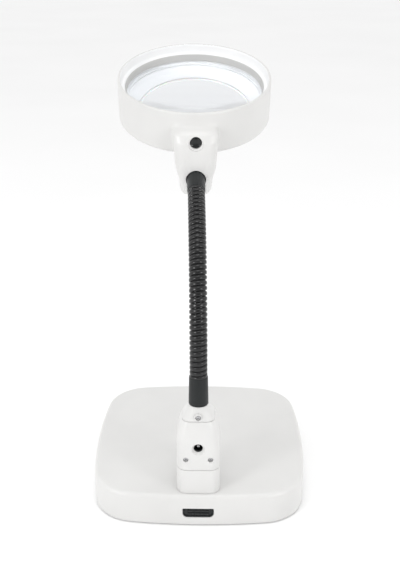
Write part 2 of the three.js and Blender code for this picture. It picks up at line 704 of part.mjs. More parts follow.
function makeHead(frame) {
  const head = new THREE.Group();
  head.rotation.x = Math.PI / 2;
  head.position.set(0, -neckDrop, linkPitch / 2 + upperCollarLength + neckReach);
  frame.add(head);

  const inner = housingRadius - housingWall;
  const seatTop = -lensDepth - lensBulge(seatRadius) - gap;
  const ring = turned([
    [seatRadius, seatTop],
    [seatRadius, seatTop - seatThickness],
    [inner, seatTop - seatThickness - 1],
    [inner, -housingHeight],
    [housingRadius - 2, -housingHeight],
    [housingRadius - 0.5, -housingHeight + 0.8],
    [housingRadius, -housingHeight + 2.5],
    [housingRadius, -1],
    [housingRadius - 0.5, 0],
    [housingRadius - lipWidth, 0],
    [housingRadius - lipWidth - 0.4, -0.6],
    [inner - 0.6, -6],
    [lensRadius + gap, -6.6],
    [lensRadius + gap, seatTop],
    [seatRadius, seatTop],
  ], 56);
  const rear = -neckReach;
  const front = rear + neckDepth;
  const neck = loft([
    neckSection(17, rear + 6, front - 4, 6, neckBottom),
    neckSection(21, rear + 2.4, front - 2, 7, neckBottom - 1.4),
    neckSection(22.6, rear + 0.6, front - 0.5, 7.5, neckBottom - 4),
    neckSection(23.6, rear, front, 8, neckDrop + 4),
    neckSection(25.5, rear, front, 8, neckDrop),
    neckSection(28, rear + 0.4, front, 8, neckDrop - 4),
    neckSection(29, rear + 1.6, front - 1, 8, housingHeight),
    neckSection(29.6, rear + 3.6, front - 3, 8, housingHeight - 7),
    neckSection(30.6, rear + 5.2, front - 4, 7, housingHeight - 14),
    neckSection(31.4, rear + 8.2, front - 4.5, 5, housingHeight - 18.5),
    neckSection(28, rear + 13.6, front - 5, 2, housingHeight - 21.5),
  ]);
  const well = bar(inner, -housingHeight - gap, 5, 56);
  const socket = alongY(bar(collarWideRadius + gap, -1, upperSpigot + 2, 24), 0, rear, -neckDrop);
  const cavityWidth = coverWidth + 2 * gap;
  const coverMiddle = -neckDrop - 1.5;
  const cavity = block(
    cavityWidth, cavityDepth + 1, coverHeight + 2 * gap, 0, front + (1 - cavityDepth) / 2, coverMiddle,
  );
  const plugY = rear + 5.2;
  const plugHole = bar(plugRadius + gap, -3, plugRecess + 4.3, 20)
    .rotateX(-Math.PI / 2 - THREE.MathUtils.degToRad(plugSlope)).translate(0, plugY, -plugDrop);
  const neckSolid = toSolid(neck).subtract(toSolid(well));
  const housing = toSolid(ring).add(neckSolid)
    .subtract(toSolid(socket)).subtract(toSolid(cavity)).subtract(toSolid(plugHole));
  add(head, 'lens_housing', toGeometry(housing), white);

  const plug = bar(plugRadius, plugRecess, plugRecess + 4, 20)
    .rotateX(-Math.PI / 2 - THREE.MathUtils.degToRad(plugSlope)).translate(0, plugY, -plugDrop);
  add(head, 'neck_screw_plug', plug, black);
  const cover = block(
    coverWidth, coverThickness, coverHeight, 0, front - coverRecess - coverThickness / 2, coverMiddle,
  );
  add(head, 'neck_cover', cover, white);

  const collar = turned([
    ...arc(0, 0, cupRadius, Math.PI / 2, 0, 4),
    [neckRadius, 0],
    [neckRadius, linkPitch / 2],
    [collarNarrowRadius, linkPitch / 2],
    [collarWideRadius, linkPitch / 2 + upperCollarLength - 1],
    [collarWideRadius, linkPitch / 2 + upperCollarLength + upperSpigot],
    [0, linkPitch / 2 + upperCollarLength + upperSpigot],
  ], 20);
  add(frame, 'upper_collar', collar, black);

  const top = -lensDepth + lensEdge;
  const half = Math.asin(lensRadius / lensCurve);
  const lower = arc(0, lensCurve * Math.cos(half) - lensDepth, lensCurve, -Math.PI / 2, -Math.PI / 2 + half, 4);
  const upper = arc(0, top - lensCurve * Math.cos(half), lensCurve, Math.PI / 2 - half, Math.PI / 2, 4);
  add(head, 'magnifying_lens', turned([...lower, ...upper], 48), glass);
  const holdInner = lensRadius - 0.9;
  const ringTop = top + gap;
  const wallFoot = -6.6;      // where the rim's sloping wall ends
  add(head, 'lens_retaining_ring', turned([
    [holdInner, ringTop + lensBulge(holdInner)],
    [lensRadius, ringTop],
    [lensRadius, wallFoot - gap],
    [holdInner + 0.4, wallFoot - gap],
    [holdInner, ringTop + lensBulge(holdInner)],
  ], 48), innerWhite);

  const skirtTop = seatTop - seatThickness - gap;
  const bezelTop = -housingHeight + 1.4;
  const diffuserTop = bezelTop + gap + diffuserThickness;
  const skirtBottom = diffuserTop + gap;
  add(head, 'inner_skirt', turned([
    [openingRadius, skirtBottom],
    [openingRadius + skirtWall, skirtBottom],
    [seatRadius + skirtWall - 0.4, skirtTop - 0.6],
    [seatRadius - 0.4, skirtTop],
    [openingRadius, skirtBottom],
  ], 48), innerWhite);
  const ringOuter = inner - gap;
  const boardBottom = -ledBoardDrop - boardThickness;
  const skirtAtBoard = seatRadius + skirtWall + 0.4
    - (seatRadius - openingRadius) * (skirtTop - boardBottom) / (skirtTop - skirtBottom);
  add(head, 'led_board', turned([
    [skirtAtBoard + 1.6, boardBottom],
    [ringOuter, boardBottom],
    [ringOuter, -ledBoardDrop],
    [skirtAtBoard + 1.6, -ledBoardDrop],
    [skirtAtBoard + 1.6, boardBottom],
  ], 48), innerWhite);
  const ledRing = (skirtAtBoard + 1.6 + ringOuter) / 2;
  for (let i = 0; i < ledCount; i++) {
    const angle = 2 * Math.PI * (i + 0.5) / ledCount;
    const led = block(ledSize, ledSize, ledHeight, ledRing, 0, boardBottom - gap - ledHeight / 2).rotateZ(angle);
    add(head, `led_${String(i + 1).padStart(2, '0')}`, led, diffuse);
  }
  add(head, 'diffuser_ring', turned([
    [openingRadius, diffuserTop - diffuserThickness],
    [ringOuter, diffuserTop - diffuserThickness],
    [ringOuter, diffuserTop],
    [openingRadius, diffuserTop],
    [openingRadius, diffuserTop - diffuserThickness],
  ], 48), diffuse);
  add(head, 'bottom_bezel', turned([
    [ringOuter - 3.2, -housingHeight],
    [ringOuter, -housingHeight],
    [ringOuter, bezelTop],
    [ringOuter - 3.2, bezelTop],
    [ringOuter - 3.2, -housingHeight],
  ], 48), white);
}

makeBase();
makeRelease();
makeColumn();
makeCap();
makeHead(makeNeck());

export default group;
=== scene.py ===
"""Stand magnifier: the finished surfaces, materials, stage and camera round the fixed frame."""

import json
import math

import bpy
from bpy.props import FloatProperty, FloatVectorProperty, IntProperty, PointerProperty
from bpy.types import Operator, Panel, PropertyGroup
from mathutils import Matrix, Vector


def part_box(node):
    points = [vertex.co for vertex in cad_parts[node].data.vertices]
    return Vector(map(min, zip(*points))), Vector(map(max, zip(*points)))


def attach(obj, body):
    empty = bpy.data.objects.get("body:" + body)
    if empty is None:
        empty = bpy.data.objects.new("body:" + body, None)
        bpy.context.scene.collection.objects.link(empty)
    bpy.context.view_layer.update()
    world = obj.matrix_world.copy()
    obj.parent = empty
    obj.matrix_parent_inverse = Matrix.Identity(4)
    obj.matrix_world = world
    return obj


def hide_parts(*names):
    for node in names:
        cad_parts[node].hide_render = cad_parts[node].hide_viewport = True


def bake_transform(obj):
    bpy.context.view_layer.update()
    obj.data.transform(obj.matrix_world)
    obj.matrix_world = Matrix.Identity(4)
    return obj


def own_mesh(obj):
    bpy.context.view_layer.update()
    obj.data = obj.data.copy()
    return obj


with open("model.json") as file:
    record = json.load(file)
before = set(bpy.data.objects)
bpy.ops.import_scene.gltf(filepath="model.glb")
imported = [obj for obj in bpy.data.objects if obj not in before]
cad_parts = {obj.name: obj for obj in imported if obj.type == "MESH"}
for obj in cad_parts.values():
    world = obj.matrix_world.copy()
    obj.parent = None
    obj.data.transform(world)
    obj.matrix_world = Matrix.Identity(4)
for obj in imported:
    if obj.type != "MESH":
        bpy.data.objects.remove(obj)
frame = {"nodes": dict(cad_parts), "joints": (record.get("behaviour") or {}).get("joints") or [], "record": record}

bl_info = {
    "name": "Stand Magnifier",
    "version": (1, 0, 0),
    "blender": (4, 5, 0),
    "location": "3D View > Sidebar > Magnifier",
    "description": "Builds a round stand magnifier on a flexible neck round its fixed frame",
    "category": "Object",
}

MM = 0.001
FULL_TURN = 2 * math.pi
TOUCHING = 0.001 * MM  # points closer than this are one point
NEAR = 0.01 * MM  # faces closer than this to a plane lie in it
SCREW_SIDE = 8.1 * MM  # from the column's middle plane to each of its two screws
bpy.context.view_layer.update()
hinges = [joint for joint in frame["joints"] if joint["type"] == "hinge"]
shop = {}  # the materials by name, made before the first piece


def size(name, default, description):
    """A length in millimetres, kept in metres."""
    return FloatProperty(name=name, description=description, default=default * MM, unit="LENGTH", precision=5)


def colour(name, default, description):
    return FloatVectorProperty(
        name=name, description=description, default=default, size=4, subtype="COLOR", min=0, max=1
    )


# ---- Sizes and colours that a user would change ----


class BaseSizes(PropertyGroup):
    """Sizes of the weighted base."""

    side_radius: size("Side Radius", 375, "Radius of the slightly bulged sides")
    corner_radius: size("Corner Radius", 30, "Radius of the upright corners")
    top_fillet: size("Top Fillet", 3, "Rounding of the top edge")
    foot_fillet: size("Foot Fillet", 1.2, "Rounding of the bottom edge")
    window_gap: size("Window Gap", 0.25, "Gap round the release button")


class ColumnSizes(PropertyGroup):
    """Sizes of the upright column."""

    corner_radius: size("Corner Radius", 7, "Radius of the upright edges")
    seam: size("Seam", 0.12, "Width of the seams between the mouldings")
    shoulder_start: size("Shoulder Start", 60, "Height where the column starts to narrow")
    inlet_height: size("Inlet Height", 58.4, "Height of the inlet's mouth and of the power button's hole")
    screw_height: size("Screw Height", 50.4, "Height of the two recessed screws")


class NeckSizes(PropertyGroup):
    """Sizes of the flexible neck."""

    radius: size("Radius", 5.8, "Radius over the crests of the winding")
    groove: size("Groove", 1.0, "Depth of the grooves between the crests")
    lead: size("Lead", 3.35, "Distance from one crest to the next")
    steps: IntProperty(name="Steps", description="Faces round the neck", default=36, min=12, max=64)


class HeadSizes(PropertyGroup):
    """Sizes of the lens head."""

    tilt: FloatProperty(
        name="Tilt", description="Lens plane from level at rest", default=math.radians(17), subtype="ANGLE"
    )
    reach: size("Reach", 71.5, "From the ring's centre back to the neck's rear face")
    drop: size("Drop", 42, "From the rim plane down to the flexible neck's axis")
    collar: size("Collar", 14.6, "Visible length of the upper sleeve")
    radius: size("Radius", 55.1, "Outer radius of the ring")
    height: size("Height", 32, "Height of the ring")
    lens_radius: size("Lens Radius", 49.5, "Radius of the lens")
    lens_curve: size("Lens Curve", 430, "Radius of curvature of each face")
    lens_edge: size("Lens Edge", 3, "Thickness of the lens at its edge")
    lens_depth: size("Lens Depth", 15, "From the rim down to the lens's lower edge")


class Finishes(PropertyGroup):
    """Colours of the finishes."""

    shell: colour("Shell White", (0.655, 0.652, 0.642, 1), "Moulded white of the base, column and ring")
    # Inner White is the shell white made lighter: painted light on the ring's inner wall, the lens's edge and the
    # parts inside the ring
    inner: colour("Inner White", (0.86, 0.865, 0.87, 1), "White of the parts inside the ring")
    black: colour("Gloss Black", (0.006, 0.0075, 0.008, 1), "Black of the button and the inlet")
    sleeve: colour("Sleeve", (0.012, 0.014, 0.0145, 1), "Dark grey of the two sleeves")
    hose: colour("Neck Black", (0.004, 0.004, 0.0045, 1), "Coating of the wound neck")


class StageSettings(PropertyGroup):
    """Camera and light."""

    camera_distance: FloatProperty(
        name="Distance", description="From the camera to the point it aims at", default=0.6, unit="LENGTH"
    )
    camera_height: FloatProperty(
        name="Elevation", description="Camera's angle above the horizon", default=math.radians(22.8),
        subtype="ANGLE",
    )
    camera_turn: FloatProperty(
        name="Turn", description="Camera's angle round the object", default=math.radians(0.95),
        subtype="ANGLE",
    )
    aim_height: size("Aim Height", 144.5, "Height of the point the camera aims at")
    lens: FloatProperty(name="Lens", description="Focal length in millimetres", default=55.07)
    sky: FloatProperty(name="Sky", description="Brightness of the white surroundings", default=1.04)
    key: FloatProperty(name="Key", description="Power of the main soft light, in watts", default=3.5)


# ---- Modelling helpers ----


def clear_selection():
    if bpy.context.mode != "OBJECT":
        bpy.ops.object.mode_set(mode="OBJECT")
    bpy.ops.object.select_all(action="DESELECT")
    bpy.context.tool_settings.mesh_select_mode = (True, False, False)


def activate(piece):
    clear_selection()
    piece.select_set(True)
    bpy.context.view_layer.objects.active = piece


def pick(piece, kind, test):
    """Selects the vertices, edges or faces that pass a test, in edit mode."""
    activate(piece)
    mesh = piece.data
    for elements in (mesh.vertices, mesh.edges, mesh.polygons):
        elements.foreach_set("select", [False] * len(elements))
    bpy.context.tool_settings.mesh_select_mode = (kind == "VERT", kind == "EDGE", kind == "FACE")
    elements = {"VERT": mesh.vertices, "EDGE": mesh.edges, "FACE": mesh.polygons}[kind]
    for element in elements:
        element.select = bool(test(element))
    bpy.ops.object.mode_set(mode="EDIT")


def edge_ends(piece, edge):
    return [piece.data.vertices[index].co for index in edge.vertices]


def push(x=0, y=0, z=0):
    """Extrudes what is selected by a distance."""
    bpy.ops.mesh.extrude_region_move(TRANSFORM_OT_translate={"value": (x, y, z)})


def start_point(name, x, y, z):
    """A piece that is one selected vertex, in edit mode."""
    clear_selection()
    bpy.ops.mesh.primitive_plane_add(size=MM)
    piece = bpy.context.object
    piece.name = name
    bpy.ops.object.mode_set(mode="EDIT")
    bpy.ops.mesh.select_all(action="SELECT")
    bpy.ops.mesh.merge(type="CENTER")
    bpy.ops.transform.translate(value=(x, y, z))
    return piece


def close_up(piece):
    """Merges doubles, turns the faces outwards and leaves edit mode."""
    bpy.ops.mesh.select_all(action="SELECT")
    bpy.ops.mesh.remove_doubles(threshold=TOUCHING)
    bpy.ops.mesh.normals_make_consistent(inside=False)
    bpy.ops.object.mode_set(mode="OBJECT")
    return piece


def turned(name, profile, steps=128):
    """A piece of revolution about Z from (radius, height) points, closed or ending on the axis."""
    piece = start_point(name, profile[0][0], 0, profile[0][1])
    for (radius, height), (next_radius, next_height) in zip(profile, profile[1:]):
        push(x=next_radius - radius, z=next_height - height)
    bpy.ops.mesh.select_all(action="SELECT")
    bpy.ops.mesh.remove_doubles(threshold=1e-7)
    bpy.ops.mesh.select_all(action="SELECT")
    bpy.ops.mesh.spin(steps=steps, angle=FULL_TURN, center=(0, 0, 0), axis=(0, 0, 1))
    return close_up(piece)


def in_mm(points):
    return [(radius * MM, height * MM) for radius, height in points]


def slab(name, width, depth, corner, centre, bottom, top, segments=10):
    """An upright block with round upright edges."""
    clear_selection()
    x, y = centre
    bpy.ops.mesh.primitive_plane_add(size=1, location=(0, 0, 0))
    piece = bpy.context.object
    piece.name = name
    bpy.ops.object.mode_set(mode="EDIT")
    bpy.ops.mesh.select_all(action="SELECT")
    bpy.ops.transform.resize(value=(width, depth, 1), center_override=(0, 0, 0))
    bpy.ops.transform.translate(value=(x, y, bottom))
    bpy.ops.mesh.bevel(offset=corner, segments=segments, affect="VERTICES")
    bpy.ops.mesh.select_all(action="SELECT")
    push(z=top - bottom)
    return close_up(piece)


def modify(piece, kind, **values):
    """Adds a modifier, sets it and applies it."""
    activate(piece)
    modifier = piece.modifiers.new(kind.title(), kind)
    for name, value in values.items():
        setattr(modifier, name, value)
    bpy.ops.object.modifier_apply(modifier=modifier.name)
    return piece


def carve(piece, cutter, operation="DIFFERENCE"):
    """Cuts a piece with another, or joins it on, and drops the cutter."""
    modify(piece, "BOOLEAN", object=cutter, operation=operation, solver="EXACT")
    bpy.data.objects.remove(cutter)
    return piece


def trim(piece, place, way):
    """Cuts off what lies beyond a plane and fills the cut."""
    pick(piece, "VERT", lambda vertex: True)
    bpy.ops.mesh.bisect(plane_co=place, plane_no=way, use_fill=True, clear_outer=True)


def soften(piece, width, segments=3, angle=28):
    """Rounds the sharp edges."""
    return modify(
        piece, "BEVEL", width=width, segments=segments, limit_method="ANGLE", angle_limit=math.radians(angle),
        harden_normals=False,
    )


def shade(piece, angle=35):
    activate(piece)
    bpy.ops.object.shade_smooth_by_angle(angle=math.radians(angle))
    return piece


def put(piece, matrix):
    """Moves a piece to its place, with the place kept in its mesh."""
    activate(piece)
    piece.matrix_world = matrix
    bpy.ops.object.transform_apply(location=True, rotation=True, scale=True)
    return piece


def copy_of(piece, name):
    twin = piece.copy()
    twin.data = piece.data.copy()
    twin.name = name
    bpy.context.scene.collection.objects.link(twin)
    return twin


def dress(piece, slot, body, replaced=(), finish=None):
    """Gives a finished piece its material, its body and the frame nodes it stands for."""
    piece.data.materials.clear()
    piece.data.materials.append(shop[finish or slot])
    if body:
        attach(piece, body)
    if replaced:
        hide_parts(*replaced)
    return piece


def facing_rear(x, y, z):
    """The place of a piece made along Z, turned so that it points out of the rear."""
    return Matrix.Translation((x, y, z)) @ Matrix.Rotation(math.pi / 2, 4, "X")


def facing_front(x, y, z):
    """The place of a piece made along Z, turned so that it points out of the front."""
    return Matrix.Translation((x, y, z)) @ Matrix.Rotation(-math.pi / 2, 4, "X")


def column_axis():
    low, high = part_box("column_foot")
    return (low + high) / 2


def head_place():
    """The ring's own frame: origin at the rim's centre, +Y away from the neck, +Z out of the rim."""
    head = bpy.context.scene.magnifier_head
    last = hinges[-1]
    across = -Vector(last["axis"]).normalized()
    forward = Vector((0, 0, 1)).cross(across).normalized()
    away = forward * math.cos(head.tilt) + Vector((0, 0, math.sin(head.tilt)))
    up = across.cross(away)
    half_link = (Vector(last["pos_m"]) - Vector(hinges[-2]["pos_m"])).length / 2
    centre = Vector(last["pos_m"]) + away * (half_link + head.collar + head.reach) + up * head.drop
    turn = Matrix((across, away, up)).transposed().to_4x4()
    return Matrix.Translation(centre) @ turn


# ---- Materials ----


class Finish:
    """A procedural material and its node tree."""

    def __init__(self, name, **values):
        self.material = bpy.data.materials.new(name)
        self.material.use_nodes = True
        self.tree = self.material.node_tree
        self.shader = self.tree.nodes["Principled BSDF"]
        for socket, value in values.items():
            self.shader.inputs[socket.replace("_", " ")].default_value = value
        self.place = self.tree.nodes.new("ShaderNodeTexCoord").outputs["Object"]

    def node(self, kind, links=None, **values):
        made = self.tree.nodes.new("ShaderNode" + kind)
        for name, value in values.items():
            if name in made.inputs:
                made.inputs[name].default_value = value
            else:
                setattr(made, name, value)
        for name, source in (links or {}).items():
            self.tree.links.new(source, made.inputs[name])
        return made

    def noise(self, scale, detail=4, roughness=0.5, stretch=None):
        place = self.place
        if stretch:
            place = self.node("Mapping", {"Vector": self.place}, Scale=stretch).outputs["Vector"]
        made = self.node("TexNoise", {"Vector": place}, Scale=scale, Detail=detail, Roughness=roughness)
        return made.outputs["Fac"]

    def ramp(self, source, stops):
        made = self.node("ValToRGB", {"Fac": source})
        ramp = made.color_ramp
        ramp.elements[0].position, ramp.elements[0].color = stops[0]
        ramp.elements[1].position, ramp.elements[1].color = stops[-1]
        for position, value in stops[1:-1]:
            ramp.elements.new(position).color = value
        return made.outputs["Color"]

    def spread(self, source, low, high):
        """Maps 0 to 1 on to low to high."""
        return self.node("MapRange", {"Value": source}, **{"To Min": low, "To Max": high}).outputs["Result"]

    def use(self, socket, source):
        self.tree.links.new(source, self.shader.inputs[socket])

    def paint(self, source, *stops):
        """Colours the surface through a ramp of (position, colour) stops."""
        self.use("Base Color", self.ramp(source, stops))

    def bump(self, source, strength, distance):
        last = self.shader.inputs["Normal"]
        links = {"Height": source}
        if last.is_linked:
            links["Normal"] = last.links[0].from_socket
        made = self.node("Bump", links, Strength=strength, Distance=distance)
        self.tree.links.new(made.outputs["Normal"], last)


def tint(base, factor):
    return tuple(min(1, value * factor) for value in base[:3]) + (1,)


def moulded(name, base, roughness, grain, coat=0.0, specular=0.5):
    """Moulded plastic: a fine spark-eroded grain, slow changes of gloss and a faint change of colour."""
    finish = Finish(
        name, Roughness=roughness, Coat_Weight=coat, Coat_Roughness=0.15, Specular_IOR_Level=specular
    )
    slow = finish.noise(28, 3)
    finish.paint(slow, (0.3, tint(base, 0.975)), (0.7, tint(base, 1.02)))
    finish.use("Roughness", finish.spread(finish.noise(90, 5), roughness - 0.05, roughness + 0.07))
    finish.bump(finish.noise(2600, 2), grain, 0.00004)
    finish.bump(finish.noise(260, 3), grain * 0.5, 0.00006)
    return finish.material


def metal(name, base, roughness, stretch):
    finish = Finish(name, Metallic=1.0, Roughness=roughness)
    brushed = finish.noise(900, 4, stretch=stretch)
    finish.paint(brushed, (0.3, tint(base, 0.8)), (0.7, tint(base, 1.1)))
    finish.use("Roughness", finish.spread(brushed, roughness - 0.08, roughness + 0.12))
    finish.bump(brushed, 0.15, 0.00003)
    return finish.material


def hose_black(base):
    """Glossy black coating with faint lighter patches."""
    finish = Finish("neck_black", Roughness=0.24, Specular_IOR_Level=0.5)
    patches = finish.noise(140, 5, 0.6)
    finish.paint(patches, (0.35, tint(base, 0.7)), (0.75, tint(base, 1.6)))
    finish.use("Roughness", finish.spread(finish.noise(420, 5), 0.16, 0.28))
    finish.bump(finish.noise(2200, 3), 0.2, 0.00004)
    return finish.material


def lens_clear():
    finish = Finish("lens_clear", Transmission_Weight=1.0, IOR=1.3, Base_Color=(0.90, 0.915, 0.935, 1))
    dust = finish.noise(70, 6, 0.65)
    finish.use("Roughness", finish.spread(dust, 0.0, 0.02))
    clear = finish.node("BsdfTransparent")
    ray = finish.node("LightPath").outputs["Is Shadow Ray"]
    blend = finish.node("MixShader", {"Fac": ray})
    finish.tree.links.new(finish.shader.outputs["BSDF"], blend.inputs[1])
    finish.tree.links.new(clear.outputs["BSDF"], blend.inputs[2])
    finish.tree.links.new(blend.outputs["Shader"], finish.tree.nodes["Material Output"].inputs["Surface"])
    return finish.material


def frosted(base):
    finish = Finish("diffuser", Roughness=0.55, Subsurface_Weight=0.35, Subsurface_Scale=0.004)
    finish.paint(finish.noise(60, 4), (0.3, tint(base, 0.97)), (0.7, tint(base, 1.02)))
    finish.bump(finish.noise(1800, 3), 0.35, 0.00005)
    return finish.material


def rubber():
    finish = Finish("mat_rubber", Roughness=0.85)
    dark, pale = (0.02, 0.02, 0.02, 1), (0.04, 0.04, 0.04, 1)
    finish.paint(finish.noise(80, 5), (0.3, dark), (0.7, pale))
    cells = finish.node("TexVoronoi", {"Vector": finish.place}, Scale=420.0).outputs["Distance"]
    finish.bump(cells, 0.5, 0.0002)
    return finish.material


def circuit_green():
    finish = Finish("board_green", Roughness=0.35, Coat_Weight=0.4)
    tracks = finish.node("TexBrick", {"Vector": finish.place}, Scale=260.0).outputs["Fac"]
    finish.paint(tracks, (0.0, (0.01, 0.10, 0.04, 1)), (1.0, (0.03, 0.20, 0.08, 1)))
    finish.bump(tracks, 0.3, 0.00005)
    return finish.material


def led_package():
    finish = Finish("led", Roughness=0.3)
    phosphor, pale = (0.80, 0.70, 0.25, 1), (0.92, 0.88, 0.62, 1)
    finish.paint(finish.noise(500, 3), (0.3, phosphor), (0.6, pale))
    return finish.material


def make_materials():
    tones = bpy.context.scene.magnifier_finishes
    return {
        "white_plastic": moulded("white_plastic", tones.shell, 0.34, 0.10),
        # inner_white is the white plastic made lighter: painted light on the ring's inner wall, the lens's edge
        # and the parts inside the ring
        "inner_white": moulded("inner_white", tones.inner, 0.55, 0.08),
        # A darker copy of the white plastic: painted shade on the lens's holding ring
        "painted_shade_grey": moulded("painted_shade_grey", tint(tones.shell, 0.86), 0.5, 0.08),
        "black_plastic": moulded("black_plastic", tones.black, 0.25, 0.06, coat=0.1, specular=0.35),
        "collar_black": moulded("collar_black", tones.sleeve, 0.42, 0.15, specular=0.28),
        "neck_black": hose_black(tones.hose),
        "mat_rubber": rubber(),
        "steel": metal("steel", (0.55, 0.55, 0.56, 1), 0.32, (1, 1, 6)),
        "lens_glass": lens_clear(),
        "diffuser": frosted((0.90, 0.90, 0.88, 1)),
        "led": led_package(),
        "board_green": circuit_green(),
    }


# ---- Base ----


def arc_step(centre, angle, steps):
    """Carries the selected vertex round an arc, leaving edges behind it."""
    bpy.ops.mesh.spin(steps=steps, angle=-angle, center=(*centre, 0), axis=(0, 0, 1))


def bulged_square(name, half, side_radius, corner_radius, bottom, top):
    """An upright block whose outline is four long arcs and four corner arcs."""
    side = half - side_radius
    reach = side_radius - corner_radius
    corner = (side + math.sqrt(2 * reach * reach - side * side)) / 2
    meet = math.atan2(corner, corner - side)
    piece = start_point(name, side + side_radius * math.cos(meet), -side_radius * math.sin(meet), bottom)
    for quarter in range(4):
        turn = Matrix.Rotation(quarter * math.pi / 2, 2)
        arc_step(turn @ Vector((side, 0)), 2 * meet, 24)
        arc_step(turn @ Vector((corner, corner)), math.pi / 2 - 2 * meet, 12)
    bpy.ops.mesh.select_all(action="SELECT")
    bpy.ops.mesh.remove_doubles(threshold=TOUCHING)
    bpy.ops.mesh.select_all(action="SELECT")
    bpy.ops.mesh.edge_face_add()
    push(z=top - bottom)
    return close_up(piece)


def round_rim(piece, height, offset, segments):
    """Rounds the edges that lie in one level plane."""
    pick(piece, "EDGE", lambda edge: all(abs(end.z - height) < TOUCHING for end in edge_ends(piece, edge)))
    bpy.ops.mesh.bevel(offset=offset, segments=segments, affect="EDGES")
    bpy.ops.object.mode_set(mode="OBJECT")


def button_block(name, grow, front, rear):
    """The release button's outline, pushed through from one depth to another."""
    low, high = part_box("release_latch")
    middle = (low.z + high.z) / 2
    width, height, chamfer = 20.5 * MM + 2 * grow, 6.7 * MM + 2 * grow, 3.2 * MM
    clear_selection()
    bpy.ops.mesh.primitive_plane_add(size=1)
    piece = bpy.context.object
    piece.name = name
    bpy.ops.object.mode_set(mode="EDIT")
    bpy.ops.mesh.select_all(action="SELECT")
    bpy.ops.transform.resize(value=(width, height, 1), center_override=(0, 0, 0))
    bpy.ops.object.mode_set(mode="OBJECT")
    pick(piece, "VERT", lambda vertex: vertex.co.y < 0)
    bpy.ops.mesh.bevel(offset=chamfer, segments=6, profile=0.5, affect="VERTICES")
    pick(piece, "VERT", lambda vertex: vertex.co.y > height / 2 - TOUCHING)
    bpy.ops.mesh.bevel(offset=0.9 * MM, segments=4, affect="VERTICES")
    bpy.ops.mesh.select_all(action="SELECT")
    push(z=rear - front)
    close_up(piece)
    return put(piece, facing_rear(0, rear, middle))


class MAGNIFIER_OT_base(Operator):
    """Builds the base's white cover"""

    bl_idname = "magnifier.base"
    bl_label = "Base"

    def execute(self, context):
        sizes = context.scene.magnifier_base
        low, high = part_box("base_cover")
        cover = bulged_square(
            "base_cover_moulding", high.x, sizes.side_radius, sizes.corner_radius, low.z, high.z
        )
        round_rim(cover, high.z, sizes.top_fillet, 8)
        round_rim(cover, low.z, sizes.foot_fillet, 4)
        wall = 2.4 * MM
        hollow = bulged_square(
            "hollow", high.x - wall, sizes.side_radius - wall, sizes.corner_radius - wall,
            -5 * MM, high.z - wall,
        )
        carve(cover, hollow)
        foot_hole = slab(
            "foot_hole", width=23.6 * MM, depth=20.6 * MM, corner=2 * MM, centre=(0, column_axis().y),
            bottom=15 * MM, top=30 * MM,
        )
        carve(cover, foot_hole)
        carve(cover, button_block("window", sizes.window_gap, -high.x - 2 * MM, -high.x + 4 * MM))
        shade(cover, 30)
        dress(cover, "white_plastic", "base", ["base_cover"])
        return {"FINISHED"}


def latch_spring():
    """A coil between the latch and its stop."""
    low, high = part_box("latch_spring")
    middle, length = (low + high) / 2, high.y - low.y
    wire, turns = 0.25 * MM, 4
    clear_selection()
    bpy.ops.mesh.primitive_circle_add(vertices=12, radius=wire)
    spring = bpy.context.object
    spring.name = "latch_spring_coil"
    reach = (high.x - low.x) / 2 - wire
    put(spring, Matrix.Translation((reach, 0, 0)) @ Matrix.Rotation(math.pi / 2, 4, "X"))
    modify(
        spring, "SCREW", axis="Z", screw_offset=(length - 2 * wire) / turns, angle=FULL_TURN,
        iterations=turns, steps=24, render_steps=24,
    )
    activate(spring)
    bpy.ops.object.mode_set(mode="EDIT")
    bpy.ops.mesh.select_all(action="SELECT")
    bpy.ops.mesh.fill_holes(sides=0)
    bpy.ops.mesh.select_all(action="SELECT")
    bpy.ops.mesh.normals_make_consistent(inside=False)
    bpy.ops.object.mode_set(mode="OBJECT")
    put(spring, facing_front(middle.x, low.y + wire, middle.z))
    shade(spring, 40)
    dress(spring, "steel", "base", ["latch_spring"])
    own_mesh(spring)
    return spring


class MAGNIFIER_OT_release(Operator):
    """Builds the black release button with its finger ribs, and the latch's spring"""

    bl_idname = "magnifier.release"
    bl_label = "Release Button"

    def execute(self, context):
        face_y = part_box("release_button")[0].y
        button = button_block("release_button_cap", 0, face_y, face_y + 3 * MM)
        pick(button, "FACE", lambda face: face.normal.y < -0.9 and abs(face.center.y - face_y) < NEAR)
        bpy.ops.mesh.inset(thickness=0.7 * MM, depth=0)
        bpy.ops.mesh.inset(thickness=0.25 * MM, depth=-0.7 * MM)
        bpy.ops.object.mode_set(mode="OBJECT")
        middle = (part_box("release_latch")[0].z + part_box("release_latch")[1].z) / 2
        for side in (-1, 1):
            rib = slab(
                "rib", width=14.5 * MM, depth=0.8 * MM, corner=0.2 * MM, centre=(0, face_y + 0.6 * MM),
                bottom=0, top=1.35 * MM, segments=3,
            )
            put(rib, Matrix.Translation((0, 0, middle + (side * 1.15 - 0.675) * MM)))
            carve(button, rib, "UNION")
        soften(button, 0.18 * MM, 3)
        shade(button, 40)
        dress(button, "black_plastic", "release", ["release_button"])
        latch_spring()
        return {"FINISHED"}


# ---- Column ----


def cone_cutter(name, outer, inner, depth, length):
    """A countersink and the hole behind it, pointing along Z from its mouth at 0 inwards."""
    return turned(
        name,
        [(0, MM), (outer + 0.2 * MM, MM), (outer, 0), (inner, -depth), (inner, -length), (0, -length)],
        64,
    )


